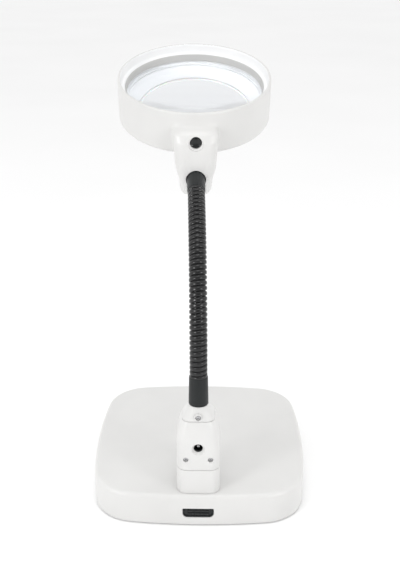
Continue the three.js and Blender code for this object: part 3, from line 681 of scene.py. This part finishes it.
class MAGNIFIER_OT_column(Operator):
    """Builds the column's foot and its rear and front shells"""

    bl_idname = "magnifier.column"
    bl_label = "Column"

    def execute(self, context):
        sizes = context.scene.magnifier_column
        axis = column_axis()
        centre = (0, axis.y)
        low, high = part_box("column_foot")
        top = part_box("base_cover")[1].z
        width, depth = high.x - low.x, high.y - low.y
        bottom = top + 0.1 * MM
        foot = slab("column_foot_moulding", width, depth, sizes.corner_radius, centre, bottom, high.z)
        round_rim(foot, bottom, 0.3 * MM, 3)
        round_rim(foot, high.z, 0.35 * MM, 3)
        shade(foot, 30)
        dress(foot, "white_plastic", "base", ["column_foot"])

        shell_low, shell_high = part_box("column_rear_shell")
        start = sizes.shoulder_start
        shell = slab("column_shell", width, depth, sizes.corner_radius, centre, shell_low.z, start)
        round_rim(shell, shell_low.z, 0.35 * MM, 3)
        rise = shell_high.z - start
        pick(shell, "FACE", lambda face: face.normal.z > 0.9 and face.center.z > start - NEAR)
        count = 12
        narrow, shorten = 7.4 * MM, 6 * MM
        before = (width, depth)
        for step in range(1, count + 1):
            share = step / count
            now = (width - narrow * share**1.9, depth - shorten * share**2.3)
            push(z=rise / count)
            height = start + rise * share
            scale = (now[0] / before[0], now[1] / before[1], 1)
            bpy.ops.transform.resize(value=scale, center_override=(0, axis.y, height))
            before = now
        bpy.ops.mesh.inset(thickness=1.0 * MM, depth=0.0)
        bpy.ops.object.mode_set(mode="OBJECT")
        parts = {}
        for name, side in (("column_rear_shell", 1), ("column_front_shell", -1)):
            half = copy_of(shell, name + "_moulding")
            trim(half, (0, axis.y - side * sizes.seam / 2, 0), (0, side, 0))
            close_up(half)
            parts[name] = half
        bpy.data.objects.remove(shell)
        rear, front = parts["column_rear_shell"], parts["column_front_shell"]
        face = shell_low.y
        mouth = cone_cutter("mouth", 4.3 * MM, 3.0 * MM, 1.9 * MM, 12 * MM)
        carve(rear, put(mouth, facing_rear(0, face, sizes.inlet_height)))
        for side in (-1, 1):
            recess = cone_cutter("recess", 1.95 * MM, 1.8 * MM, 0.25 * MM, 3.4 * MM)
            carve(rear, put(recess, facing_rear(side * SCREW_SIDE, face, sizes.screw_height)))
        hole = turned("hole", in_mm([(0, -8), (4.75, -8), (4.75, 2), (0, 2)]), 64)
        front_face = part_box("column_front_shell")[1].y
        carve(front, put(hole, facing_rear(0, front_face, sizes.inlet_height)))
        for name, half in parts.items():
            shade(half, 30)
            dress(half, "white_plastic", "base", [name])
        return {"FINISHED"}


def screw_head(name, radius, cross):
    """A small pan head with a cross recess, facing +Z with its top at 0."""
    profile = in_mm([(0, -1.2), (1, -1.2), (1, -0.75), (1, -0.35), (0.75, -0.08), (0.4, 0), (0, 0)])
    head = turned(name, [(radius_share * radius / MM, height) for radius_share, height in profile], 40)
    for angle in (math.pi / 4, 3 * math.pi / 4):
        bar = slab("bar", cross, 0.42 * MM, 0.1 * MM, (0, 0), -0.6 * MM, 0.4 * MM, 2)
        carve(head, put(bar, Matrix.Rotation(angle, 4, "Z")))
    return head


class MAGNIFIER_OT_screws(Operator):
    """Builds the three visible screws"""

    bl_idname = "magnifier.screws"
    bl_label = "Screws"

    def execute(self, context):
        sizes = context.scene.magnifier_column
        radius = 1.65 * MM
        pattern = screw_head("screw_pattern", radius, 2.1 * MM)
        face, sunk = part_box("column_rear_shell")[0].y, 1.1 * MM
        cap_low, cap_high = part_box("cap_screw")
        places = {
            "column_screw_1": (-SCREW_SIDE, face + sunk, sizes.screw_height),
            "column_screw_2": (SCREW_SIDE, face + sunk, sizes.screw_height),
            "cap_screw": (0, cap_low.y + 0.45 * MM, (cap_low.z + cap_high.z) / 2),
        }
        for name, place in places.items():
            head = copy_of(pattern, name + "_head")
            put(head, facing_rear(*place))
            shade(head, 35)
            dress(head, "steel", "base", [name])
        bpy.data.objects.remove(pattern)
        return {"FINISHED"}


class MAGNIFIER_OT_inlet(Operator):
    """Builds the power inlet's black insert and its centre pin"""

    bl_idname = "magnifier.inlet"
    bl_label = "Power Inlet"

    def execute(self, context):
        low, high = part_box("power_inlet")
        middle = ((low.x + high.x) / 2, (low.y + high.y) / 2)
        body = slab("power_inlet_body", high.x - low.x, high.y - low.y, 0.5 * MM, middle, low.z, high.z, 3)
        height = (low.z + high.z) / 2
        bore = cone_cutter("bore", 3.1 * MM, 2.9 * MM, 0.25 * MM, 10 * MM)
        carve(body, put(bore, facing_rear(0, low.y, height)))
        key = slab("key", 1.3 * MM, 1.2 * MM, 0.3 * MM, (0, 3 * MM), -7 * MM, 1 * MM, 3)
        carve(body, put(key, facing_rear(0, low.y, height)))
        shade(body, 35)
        dress(body, "black_plastic", "base", ["power_inlet"])
        pin_low, pin_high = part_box("power_inlet_pin")
        length = (pin_high.y - pin_low.y) / MM
        pin = turned(
            "power_inlet_centre_pin",
            in_mm([(0, -length), (1, -length), (1, -0.5), (0.85, -0.15), (0.5, 0), (0.42, -0.6), (0, -0.8)]),
            32,
        )
        put(pin, facing_rear(0, pin_low.y, height))
        shade(pin, 35)
        dress(pin, "steel", "base", ["power_inlet_pin"])
        return {"FINISHED"}


class MAGNIFIER_OT_power_button(Operator):
    """Builds the round power button with its dished face"""

    bl_idname = "magnifier.power_button"
    bl_label = "Power Button"

    def execute(self, context):
        low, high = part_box("power_button")
        profile = in_mm([
            (0, -3), (4.5, -3), (4.5, -0.7), (4.35, -0.25), (4.0, 0), (3.3, -0.02), (1.7, -0.22), (0, -0.3),
        ])
        button = turned("power_button_cap", profile, 64)
        height = (low.z + high.z) / 2
        put(button, facing_front(0, high.y, height))
        shade(button, 40)
        dress(button, "black_plastic", "power", ["power_button"])
        return {"FINISHED"}


class MAGNIFIER_OT_cap(Operator):
    """Builds the cap on the column with its screw boss"""

    bl_idname = "magnifier.cap"
    bl_label = "Column Cap"

    def execute(self, context):
        low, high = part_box("column_cap")
        axis = column_axis()
        width, depth = high.x - low.x, high.y - low.y
        cap = slab("column_cap_moulding", width, depth, 5.2 * MM, (0, axis.y), low.z, low.z + 0.3 * MM, 10)
        pick(cap, "FACE", lambda face: face.normal.z > 0.9)
        rise = high.z - low.z
        narrow, count = 9.6 * MM, 10
        before = (width, depth)
        for step in range(1, count + 1):
            share = step / count
            now = (width - narrow * share**0.95, depth - (narrow + depth - width) * share**0.95)
            height = low.z + 0.3 * MM + (rise - 0.6 * MM) * share
            push(z=(rise - 0.6 * MM) / count)
            scale = (now[0] / before[0], now[1] / before[1], 1)
            bpy.ops.transform.resize(value=scale, center_override=(0, axis.y, height))
            bpy.ops.transform.tosphere(value=share**1.5)
            before = now
        push(z=0.3 * MM)
        bpy.ops.transform.resize(value=(0.95, 0.95, 1), center_override=(0, axis.y, high.z))
        bpy.ops.object.mode_set(mode="OBJECT")
        bore = turned("bore", in_mm([(0, -1), (5.6, -1), (5.6, 10), (0, 10)]), 64)
        carve(cap, put(bore, Matrix.Translation((0, axis.y, low.z))))
        screw_low, screw_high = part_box("cap_screw")
        height = (screw_low.z + screw_high.z) / 2
        face = screw_low.y - 0.1 * MM
        boss = turned("boss", in_mm([(0, -4), (2.7, -4), (2.6, -0.5), (2.35, -0.1), (2.2, 0), (0, 0)]), 48)
        carve(cap, put(boss, facing_rear(0, face, height)), "UNION")
        recess = cone_cutter("recess", 2.1 * MM, 1.85 * MM, 0.3 * MM, 1.8 * MM)
        carve(cap, put(recess, facing_rear(0, face, height)))
        shade(cap, 35)
        dress(cap, "white_plastic", "base", ["column_cap"])
        return {"FINISHED"}


# ---- Flexible neck ----


class MAGNIFIER_OT_collars(Operator):
    """Builds the smooth sleeves at the two ends of the flexible neck"""

    bl_idname = "magnifier.collars"
    bl_label = "Sleeves"

    def execute(self, context):
        cap_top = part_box("column_cap")[1].z
        first = Vector(hinges[0]["pos_m"])
        half_link = (Vector(hinges[1]["pos_m"]) - first).length / 2
        top = first.z - half_link
        profile = [
            (0, cap_top - 8 * MM), (5.2 * MM, cap_top - 8 * MM), (5.2 * MM, cap_top + 0.1 * MM),
            (6.3 * MM, cap_top + 0.15 * MM), (6.5 * MM, cap_top + 0.4 * MM), (6.45 * MM, cap_top + 4 * MM),
            (6.12 * MM, top - 0.6 * MM), (6.0 * MM, top - 0.2 * MM), (5.7 * MM, top), (0, top),
        ]
        lower = turned("lower_sleeve", profile, 96)
        put(lower, Matrix.Translation((0, first.y, 0)))
        shade(lower, 35)
        dress(lower, "collar_black", "base", ["lower_collar"])

        head = context.scene.magnifier_head
        length = head.collar
        profile = [
            (0, 0), (5.75 * MM, 0), (6.0 * MM, 0.25 * MM), (6.1 * MM, 1.5 * MM), (6.3 * MM, length - 2 * MM),
            (6.35 * MM, length), (6.35 * MM, length + 5 * MM), (0, length + 5 * MM),
        ]
        upper = turned("upper_sleeve", profile, 96)
        put(upper, head_place() @ facing_front(0, -head.reach - length, -head.drop))
        shade(upper, 35)
        dress(upper, "collar_black", "head", ["upper_collar"])
        return {"FINISHED"}


def neck_route():
    """The neck's centre line: a curve through the straight stretches between the bending hinges."""
    points = [Vector(hinge["pos_m"]) for hinge in hinges]
    last_way = head_place().to_3x3() @ Vector((0, 1, 0))
    half_link = (points[1] - points[0]).length / 2
    knots = [(points[0] - Vector((0, 0, half_link)), Vector((0, 0, 1)))]
    for index in range(0, len(points), 2):
        way = (points[index + 1] - points[index]).normalized()
        knots.append((points[index], way))
    knots.append((points[-1] + last_way * half_link, last_way))
    data = bpy.data.curves.new("neck_route", "CURVE")
    data.dimensions = "3D"
    data.resolution_u = 24
    spline = data.splines.new("BEZIER")
    spline.bezier_points.add(len(knots) - 1)
    for index, (place, way) in enumerate(knots):
        knot = spline.bezier_points[index]
        others = [other for other in (index - 1, index + 1) if 0 <= other < len(knots)]
        near = [(place - knots[other][0]).length for other in others]
        knot.co = place
        knot.handle_left_type = knot.handle_right_type = "FREE"
        knot.handle_left = place - way * near[0] / 3
        knot.handle_right = place + way * near[-1] / 3
    route = bpy.data.objects.new("neck_route", data)
    bpy.context.scene.collection.objects.link(route)
    return route, spline.calc_length()


def wound_hose(radius, groove, lead, length, steps):
    """A straight hose along Z, longer than its length, with one round-crested ridge wound along it."""
    outline = [
        (1.00, 0.00), (0.55, 0.055), (0.22, 0.13), (0.05, 0.23), (0.00, 0.36),
        (0.00, 0.56), (0.06, 0.69), (0.26, 0.80), (0.62, 0.88), (1.00, 0.94), (1.00, 1.00),
    ]
    hose = start_point("hose", radius - groove, 0, 0)
    for (depth, along), (next_depth, next_along) in zip(outline, outline[1:]):
        push(x=(depth - next_depth) * groove, z=(next_along - along) * lead)
    bpy.ops.object.mode_set(mode="OBJECT")
    turns = math.ceil(length / lead) + 3
    modify(
        hose, "SCREW", axis="Z", screw_offset=lead, angle=FULL_TURN, iterations=turns, steps=steps,
        render_steps=steps, use_merge_vertices=True, merge_threshold=TOUCHING,
    )
    return put(hose, Matrix.Translation((0, 0, -1.6 * lead)))


class MAGNIFIER_OT_hose(Operator):
    """Builds the wound flexible neck, one piece across each hinge"""

    bl_idname = "magnifier.hose"
    bl_label = "Flexible Neck"

    def execute(self, context):
        sizes = context.scene.magnifier_neck
        route, length = neck_route()
        hose = wound_hose(sizes.radius, sizes.groove, sizes.lead, length, sizes.steps)
        middles = [Vector(joint["pos_m"]) for joint in hinges]
        middles = [(a + b) / 2 for a, b in zip(middles, middles[1:])]
        count = len(hinges)
        for index, hinge in enumerate(hinges):
            part = copy_of(hose, f"neck_hose_{index + 1:02d}")
            low, high = length * index / count, length * (index + 1) / count
            for height, way in ((low, -1), (high, 1)):
                trim(part, (0, 0, height), (0, 0, way))
            close_up(part)
            modify(part, "CURVE", object=route, deform_axis="POS_Z")
            shade(part, 50)
            node = [f"neck_link_{index + 1:02d}"] if index < count - 1 else []
            dress(part, "neck_black", None, node)
            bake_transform(part)
        bpy.data.objects.remove(hose)
        bpy.data.objects.remove(route)
        return {"FINISHED"}


# ---- Head ----


def ring_body(head):
    """The ring, with its ledge for the lens and its rounded lower edge."""
    radius, height = head.radius / MM, head.height / MM
    inner, seat, ledge = radius - 2.5, head.lens_radius / MM + 0.3, 47
    return turned("lens_housing_moulding", in_mm([
        (ledge, -15.9), (ledge, -17.9), (inner, -18.9), (inner, -height), (radius - 2.2, -height),
        (radius - 1.1, -height + 0.3), (radius - 0.35, -height + 1.1), (radius - 0.05, -height + 2.4),
        (radius, -height + 4), (radius, -1.2), (radius - 0.25, -0.4), (radius - 0.8, 0),
        (radius - 1.5, -0.05), (radius - 1.9, -0.6), (inner - 0.5, -6.0), (seat, -6.6), (seat, -15.9),
        (ledge, -15.9),
    ]), 160)


def neck_section(now, target):
    """Grows the selected face on to the neck's next section."""
    width, back, front, level = now
    next_width, next_back, next_front, next_level = target
    push(z=next_level - level)
    centre, next_centre = (back + front) / 2, (next_back + next_front) / 2
    bpy.ops.transform.translate(value=(0, next_centre - centre, 0))
    scale = (next_width / width, (next_front - next_back) / (front - back), 1)
    bpy.ops.transform.resize(value=scale, center_override=(0, next_centre, next_level))


def neck_body(head):
    """The neck's block, grown up and down from one section, and cut back to the ring's inside."""
    rear, height, inner = -head.reach / MM, head.height / MM, head.radius / MM - 2.5
    # width, rear face, front face, height below the rim
    sections = [
        (27, rear + 13.4, -50, -10.0),
        (31.6, rear + 8.6, -50, -13.0),
        (31, rear + 5.4, -50, -17.5),
        (29.6, rear + 3.4, -50, -25),
        (29, rear + 1.5, -48, -32),
        (28.0, rear + 0.3, -47, -38),
        (25.7, rear, -47, -42),
        (23.7, rear, -47, -46),
        (22.7, rear + 0.4, -47.5, -52.5),
        (21.4, rear + 1.8, -48.6, -55.2),
        (18.4, rear + 4.0, -50.4, -56.6),
        (14, rear + 7, -52.5, -57),
    ]
    sections = [tuple(value * MM for value in section) for section in sections]
    first, corner = 3, 8 * MM
    width, back, front, top = sections[first]
    neck = slab("neck", width, front - back, corner, (0, (front + back) / 2), top - TOUCHING, top, 10)
    pick(neck, "FACE", lambda face: face.normal.z > 0.9)
    for now, target in zip(sections[first:0:-1], sections[first - 1::-1]):
        neck_section(now, target)
    bpy.ops.object.mode_set(mode="OBJECT")
    pick(neck, "FACE", lambda face: face.normal.z < -0.9 and face.center.z < top - TOUCHING / 2)
    for now, target in zip(sections[first:], sections[first + 1:]):
        neck_section(now, target)
    bpy.ops.object.mode_set(mode="OBJECT")
    wide = inner + 0.8
    well = turned("well", in_mm([(0, -height - 0.3), (wide, -height - 0.3), (wide, 5), (0, 5)]), 160)
    return carve(neck, well)


def fade(value, width):
    """Rises from 0 to 1 as value goes from 0 to width."""
    return max(0, min(1, value / width))


def fillet(ring, head):
    """Smooths the ring a little all over, and much more where the neck leaves its wall."""
    radius, height = head.radius / MM, head.height / MM
    reach, half_width, neck_half_width = 7, 25, 14.5
    group = ring.vertex_groups.new(name="fillet")
    for vertex in ring.data.vertices:
        x, y, z = vertex.co / MM
        from_wall = abs(math.hypot(x, y) - radius)
        if y < 0 and abs(x) < half_width and from_wall < reach and z > -height - 4:
            weight = fade(reach - from_wall, 3) * fade(half_width - abs(x), 4)
            lip = fade(-z - 2.5, 3)
            hem = fade(z + height - 1.5, 2.5) if abs(x) > neck_half_width else 1
            group.add([vertex.index], weight * lip * hem, "REPLACE")
    modify(ring, "SMOOTH", factor=0.5, iterations=3)
    modify(ring, "SMOOTH", factor=0.5, iterations=110, vertex_group="fillet")


class MAGNIFIER_OT_housing(Operator):
    """Builds the ring and its neck as one moulding with soft fillets, with the neck's cover and plug"""

    bl_idname = "magnifier.housing"
    bl_label = "Lens Housing"

    def execute(self, context):
        head = context.scene.magnifier_head
        radius, height, rear = head.radius / MM, head.height / MM, -head.reach / MM
        ring = ring_body(head)
        carve(ring, neck_body(head), "UNION")
        modify(ring, "REMESH", mode="VOXEL", voxel_size=0.62 * MM)
        fillet(ring, head)
        lean = Matrix.Rotation(math.pi / 2 - math.radians(13), 4, "X")
        hole_place = Matrix.Translation((0, (rear + 6.1) * MM, -17 * MM)) @ lean
        hole = cone_cutter("hole", 5.3 * MM, 4.15 * MM, 0.8 * MM, 6 * MM)
        carve(ring, put(hole, hole_place))
        socket = cone_cutter("socket", 7.2 * MM, 6.85 * MM, 0.3 * MM, 9 * MM)
        carve(ring, put(socket, facing_rear(0, rear * MM, -head.drop)))
        front = facing_front(0, (rear + 24.5) * MM, -43.5 * MM)
        cavity = slab("cavity", 17 * MM, 19 * MM, 1.8 * MM, (0, 0), -17.5 * MM, 2 * MM)
        carve(ring, put(cavity, front))
        cover = slab("neck_cover_plate", 16.4 * MM, 18.4 * MM, 1.5 * MM, (0, 0), -3.3 * MM, -0.8 * MM)
        soften(cover, 0.4 * MM)
        put(cover, head_place() @ front)
        shade(cover, 40)
        dress(cover, "white_plastic", "head", ["neck_cover"])
        put(ring, head_place())
        shade(ring, 40)
        dress(ring, "white_plastic", "head", ["lens_housing"])
        # The faces inside the ring wear the lighter inner white: painted light on the ring's inner wall
        ring.data.materials.append(shop["inner_white"])
        to_head = head_place().inverted()
        for face in ring.data.polygons:
            place = to_head @ face.center
            inside = math.hypot(place.x, place.y) < (radius - 1.7) * MM and place.z > -height * MM
            face.material_index = 1 if inside else 0

        plug = turned("neck_screw_cap", in_mm([
            (0, -5.5), (4.0, -5.5), (4.0, -2.6), (3.6, -2.2), (3.0, -2.5), (1.6, -2.9), (0, -3.0),
        ]), 64)
        put(plug, head_place() @ hole_place)
        shade(plug, 40)
        dress(plug, "black_plastic", "head", ["neck_screw_plug"])
        return {"FINISHED"}


class MAGNIFIER_OT_lens(Operator):
    """Builds the lens and the ring that holds it"""

    bl_idname = "magnifier.lens"
    bl_label = "Lens"

    def execute(self, context):
        head = context.scene.magnifier_head
        radius, curve = head.lens_radius, head.lens_curve
        bottom, top = -head.lens_depth, -head.lens_depth + head.lens_edge
        half = math.asin(radius / curve)
        count = 28
        face = [(curve * math.sin(half * i / count), curve * (math.cos(half * i / count) - math.cos(half)))
                for i in range(count + 1)]
        lower = [(r, bottom - bulge) for r, bulge in face]
        upper = [(r, top + bulge) for r, bulge in reversed(face)]
        lens = turned("magnifying_lens_glass", lower + upper, 160)
        soften(lens, 0.25 * MM, 2, 40)
        put(lens, head_place())
        shade(lens, 30)
        dress(lens, "lens_glass", "head", ["magnifying_lens"])
        # The lens's edge faces wear the lighter inner white: painted light at the lens's rim
        lens.data.materials.append(shop["inner_white"])
        up = head_place().to_3x3() @ Vector((0, 0, 1))
        for face in lens.data.polygons:
            face.material_index = 1 if abs(face.normal.dot(up)) < 0.6 else 0

        edge, seat = radius / MM, top / MM
        hold = turned("lens_hold_ring", in_mm([
            (edge - 0.75, seat + 0.45), (edge + 0.1, seat + 0.25), (edge + 0.2, -6.8), (edge - 0.1, -6.75),
            (edge - 0.35, -6.95), (edge - 0.75, seat + 0.45),
        ]), 160)
        put(hold, head_place())
        shade(hold, 35)
        # The holding ring is painted a darker grey than the white plastic: painted shade on its band
        dress(hold, "inner_white", "head", ["lens_retaining_ring"], finish="painted_shade_grey")
        return {"FINISHED"}


class MAGNIFIER_OT_light(Operator):
    """Builds the skirt, diffuser and bezel under the lens"""

    bl_idname = "magnifier.light"
    bl_label = "Light Ring"

    def execute(self, context):
        height = context.scene.magnifier_head.height / MM
        outer = context.scene.magnifier_head.radius / MM - 2.8
        pieces = {
            "inner_skirt": ("inner_white", [
                (41.0, -28.2), (41.5, -28.5), (42.3, -28.2), (48.0, -18.6), (47.7, -18.2), (46.7, -18.2),
                (41.0, -28.2),
            ]),
            "diffuser_ring": ("diffuser", [
                (41.0, -30.1), (41.3, -30.4), (outer, -30.4), (outer, -28.9), (41.3, -28.9), (41.0, -29.2),
                (41.0, -30.1),
            ]),
            "bottom_bezel": ("white_plastic", [
                (outer - 3.2, -height + 0.3), (outer - 2.9, -height), (outer - 0.2, -height),
                (outer, -height + 0.2), (outer, -height + 1.3), (outer - 3.0, -height + 1.3),
                (outer - 3.2, -height + 1.1), (outer - 3.2, -height + 0.3),
            ]),
        }
        for node, (slot, profile) in pieces.items():
            piece = turned(node + "_moulding", in_mm(profile), 160)
            put(piece, head_place())
            shade(piece, 30)
            dress(piece, slot, "head", [node])
        return {"FINISHED"}


class MAGNIFIER_OT_carried(Operator):
    """Gives the frame's own inner and under pieces their materials"""

    bl_idname = "magnifier.carried"
    bl_label = "Inner Pieces"

    def execute(self, context):
        slots = {part["node"]: part["material_slot"] for part in frame["record"]["subparts"]}
        for name, node in frame["nodes"].items():
            node.data.materials.clear()
            node.data.materials.append(shop[slots[name]])
        return {"FINISHED"}


# ---- Stage ----


def area_light(name, place, aim, width, power):
    data = bpy.data.lights.new(name, "AREA")
    data.shape = "RECTANGLE"
    data.size = width
    data.size_y = width * 0.7
    data.energy = power
    light = bpy.data.objects.new(name, data)
    bpy.context.scene.collection.objects.link(light)
    light.location = place
    light.rotation_mode = "QUATERNION"
    light.rotation_quaternion = (Vector(aim) - Vector(place)).to_track_quat("-Z", "Y")
    return light


class MAGNIFIER_OT_stage(Operator):
    """Sets the camera, the pale floor and the soft light"""

    bl_idname = "magnifier.stage"
    bl_label = "Stage"

    def execute(self, context):
        scene = context.scene
        view = scene.magnifier_stage
        aim = Vector((0, 0, view.aim_height))
        level = view.camera_distance * math.cos(view.camera_height)
        back = Vector((
            level * math.sin(view.camera_turn),
            -level * math.cos(view.camera_turn),
            view.camera_distance * math.sin(view.camera_height),
        ))
        data = bpy.data.cameras.new("camera")
        data.sensor_width = 36
        data.lens = view.lens
        data.clip_start, data.clip_end = 0.01, 50
        camera = bpy.data.objects.new("camera", data)
        scene.collection.objects.link(camera)
        camera.location = aim + back
        camera.rotation_mode = "QUATERNION"
        camera.rotation_quaternion = (-back).to_track_quat("-Z", "Y")
        scene.camera = camera
        scene.view_settings.view_transform = "Standard"

        clear_selection()
        bpy.ops.mesh.primitive_plane_add(size=12, location=(0, 0, 0))
        floor = bpy.context.object
        floor.name = "floor"
        paper = Finish("floor_paper", Roughness=0.9, Specular_IOR_Level=0.1)
        paper.paint(paper.noise(3, 2), (0.3, (0.93, 0.93, 0.93, 1)), (0.7, (0.95, 0.95, 0.95, 1)))
        floor.data.materials.append(paper.material)

        world = bpy.data.worlds.new("surroundings")
        scene.world = world
        world.use_nodes = True
        sky = world.node_tree.nodes["Background"]
        sky.inputs["Strength"].default_value = view.sky
        nodes, links = world.node_tree.nodes, world.node_tree.links
        way = nodes.new("ShaderNodeSeparateXYZ")
        links.new(nodes.new("ShaderNodeTexCoord").outputs["Generated"], way.inputs["Vector"])
        shade_side = nodes.new("ShaderNodeMapRange")
        for name, value in (("From Min", -0.95), ("From Max", -0.35), ("To Min", 0.42), ("To Max", 1.0)):
            shade_side.inputs[name].default_value = value
        links.new(way.outputs["Y"], shade_side.inputs["Value"])
        links.new(shade_side.outputs["Result"], sky.inputs["Color"])
        area_light("key", (-0.75, -0.75, 0.45), (0, 0, 0.15), 0.3, view.key)
        area_light("side", (0.75, -0.75, 0.4), (0, 0, 0.15), 0.25, view.key * 0.7)
        area_light("over", (0, -0.35, 1.2), (0, 0, 0.2), 0.5, view.key * 0.5)
        return {"FINISHED"}


# ---- Add-on ----


class MAGNIFIER_PT_panel(Panel):
    """Lists the sizes and the steps of the build"""

    bl_idname = "MAGNIFIER_PT_panel"
    bl_label = "Stand Magnifier"
    bl_space_type = "VIEW_3D"
    bl_region_type = "UI"
    bl_category = "Magnifier"

    def draw(self, context):
        for name, group in property_groups.items():
            box = self.layout.box()
            settings_block = getattr(context.scene, name)
            for key in group.__annotations__:
                box.prop(settings_block, key)
        for step in steps:
            self.layout.operator(step.bl_idname)


property_groups = {
    "magnifier_base": BaseSizes,
    "magnifier_column": ColumnSizes,
    "magnifier_neck": NeckSizes,
    "magnifier_head": HeadSizes,
    "magnifier_finishes": Finishes,
    "magnifier_stage": StageSettings,
}
steps = (
    MAGNIFIER_OT_stage,
    MAGNIFIER_OT_base,
    MAGNIFIER_OT_release,
    MAGNIFIER_OT_column,
    MAGNIFIER_OT_screws,
    MAGNIFIER_OT_inlet,
    MAGNIFIER_OT_power_button,
    MAGNIFIER_OT_cap,
    MAGNIFIER_OT_collars,
    MAGNIFIER_OT_hose,
    MAGNIFIER_OT_housing,
    MAGNIFIER_OT_lens,
    MAGNIFIER_OT_light,
    MAGNIFIER_OT_carried,
)


def register():
    for kind in (*property_groups.values(), *steps, MAGNIFIER_PT_panel):
        bpy.utils.register_class(kind)
    for name, group in property_groups.items():
        setattr(bpy.types.Scene, name, PointerProperty(type=group))


def unregister():
    for name in property_groups:
        delattr(bpy.types.Scene, name)
    for kind in reversed((*property_groups.values(), *steps, MAGNIFIER_PT_panel)):
        bpy.utils.unregister_class(kind)


def main():
    register()
    shop.update(make_materials())
    for step in steps:
        category, name = step.bl_idname.split(".")
        getattr(getattr(bpy.ops, category), name)()


if __name__ == "__main__":
    main()
